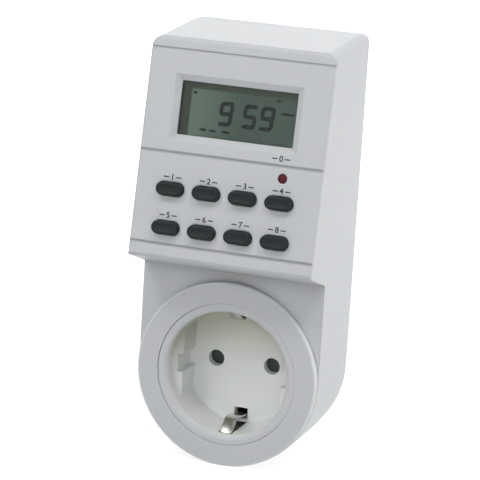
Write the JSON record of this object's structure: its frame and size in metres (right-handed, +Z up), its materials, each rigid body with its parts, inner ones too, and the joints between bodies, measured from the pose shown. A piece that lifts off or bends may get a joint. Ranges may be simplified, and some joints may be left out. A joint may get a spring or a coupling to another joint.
{
  "type": "plug-in timer switch",
  "caption": "Plug-in digital timer switch: tilted panel with display and keys above a round earthed socket, with a two-pin earthed plug on the back.",
  "frame": {"origin": "on the plug's and socket's common axis, in the plane of the rear cover that meets the wall", "axes": "+X to the right seen from the front, +Y into the wall along the plug's pins, +Z up"},
  "size_m": [0.0604, 0.083, 0.1384],
  "materials": {
    "shell_plastic": "satin",
    "socket_plastic": "satin",
    "inner_plastic": "matt",
    "key_plastic": "matt",
    "red_plastic": "gloss",
    "black_plastic": "matt",
    "shutter_plastic": "matt",
    "clear_window": "polished",
    "display_glass": "polished",
    "rubber_strip": "matt",
    "brass_strip": "bright",
    "nickel_plate": "satin nickel",
    "screw_steel": "zinc plated",
    "can_steel": "satin",
    "board_laminate": "solder resist",
    "power_laminate": "bare",
    "relay_blue": "gloss",
    "capacitor_yellow": "gloss",
    "capacitor_sleeve": "gloss",
    "varistor_blue": "dipped",
    "resistor_grey": "matt",
    "diode_black": "gloss",
    "cable_grey": "satin",
    "lead_brown": "satin",
    "lead_black": "satin",
    "lead_blue": "satin"
  },
  "bodies": {
    "housing": {"front_housing": "shell_plastic", "rear_cover": "shell_plastic", "socket_insert": "socket_plastic", "contact_block": "inner_plastic", "shutter_spring": "screw_steel", "live_contact": "brass_strip", "neutral_contact": "brass_strip", "socket_earth_strap": "nickel_plate", "plug_earth_strap": "nickel_plate", "earth_rivet": "nickel_plate", "live_pin": "nickel_plate", "neutral_pin": "nickel_plate", "pin_retainer": "inner_plastic", "retainer_screws": "screw_steel", "display_window": "clear_window", "display_holder": "inner_plastic", "display_glass": "display_glass", "connector_strips": "rubber_strip", "control_board": "board_laminate", "control_chip": "black_plastic", "quartz_crystal": "can_steel", "backup_battery": "can_steel", "push_switches": "black_plastic", "power_board": "power_laminate", "relay": "relay_blue", "film_capacitor": "capacitor_yellow", "smoothing_capacitor": "capacitor_sleeve", "surge_varistor": "varistor_blue", "dropper_resistor": "resistor_grey", "rectifier_diodes": "diode_black", "ribbon_cable": "cable_grey", "live_lead": "lead_brown", "switched_lead": "lead_black", "neutral_lead": "lead_blue", "board_screws": "screw_steel", "power_board_screws": "screw_steel", "housing_screws": "screw_steel"},
    "shutter": {"shutter": "shutter_plastic"},
    "week_key": {"week_key": "key_plastic", "week_plunger": "black_plastic"},
    "hour_key": {"hour_key": "key_plastic", "hour_plunger": "black_plastic"},
    "minute_key": {"minute_key": "key_plastic", "minute_plunger": "black_plastic"},
    "recall_key": {"recall_key": "key_plastic", "recall_plunger": "black_plastic"},
    "clock_key": {"clock_key": "key_plastic", "clock_plunger": "black_plastic"},
    "timer_key": {"timer_key": "key_plastic", "timer_plunger": "black_plastic"},
    "mode_key": {"mode_key": "key_plastic", "mode_plunger": "black_plastic"},
    "random_key": {"random_key": "key_plastic", "random_plunger": "black_plastic"},
    "clear_key": {"clear_key": "red_plastic", "clear_plunger": "black_plastic"}
  },
  "joints": [
    {"name": "shutter_turn", "type": "hinge", "parent": "housing", "child": "shutter", "pos_m": [0, -0.01135, 0], "axis": [0, -1, 0], "range_deg": [0, 40], "stiffness_Nm_per_rad": 0.0008},
    {"name": "week_key_press", "type": "slide", "parent": "housing", "child": "week_key", "axis": [0, 0.9848, -0.1736], "range_m": [0, 0.0005], "stiffness_N_per_m": 900},
    {"name": "hour_key_press", "type": "slide", "parent": "housing", "child": "hour_key", "axis": [0, 0.9848, -0.1736], "range_m": [0, 0.0005], "stiffness_N_per_m": 900},
    {"name": "minute_key_press", "type": "slide", "parent": "housing", "child": "minute_key", "axis": [0, 0.9848, -0.1736], "range_m": [0, 0.0005], "stiffness_N_per_m": 900},
    {"name": "recall_key_press", "type": "slide", "parent": "housing", "child": "recall_key", "axis": [0, 0.9848, -0.1736], "range_m": [0, 0.0005], "stiffness_N_per_m": 900},
    {"name": "clock_key_press", "type": "slide", "parent": "housing", "child": "clock_key", "axis": [0, 0.9848, -0.1736], "range_m": [0, 0.0005], "stiffness_N_per_m": 900},
    {"name": "timer_key_press", "type": "slide", "parent": "housing", "child": "timer_key", "axis": [0, 0.9848, -0.1736], "range_m": [0, 0.0005], "stiffness_N_per_m": 900},
    {"name": "mode_key_press", "type": "slide", "parent": "housing", "child": "mode_key", "axis": [0, 0.9848, -0.1736], "range_m": [0, 0.0005], "stiffness_N_per_m": 900},
    {"name": "random_key_press", "type": "slide", "parent": "housing", "child": "random_key", "axis": [0, 0.9848, -0.1736], "range_m": [0, 0.0005], "stiffness_N_per_m": 900},
    {"name": "clear_key_press", "type": "slide", "parent": "housing", "child": "clear_key", "axis": [0, 0.9848, -0.1736], "range_m": [0, 0.0005], "stiffness_N_per_m": 900}
  ]
}
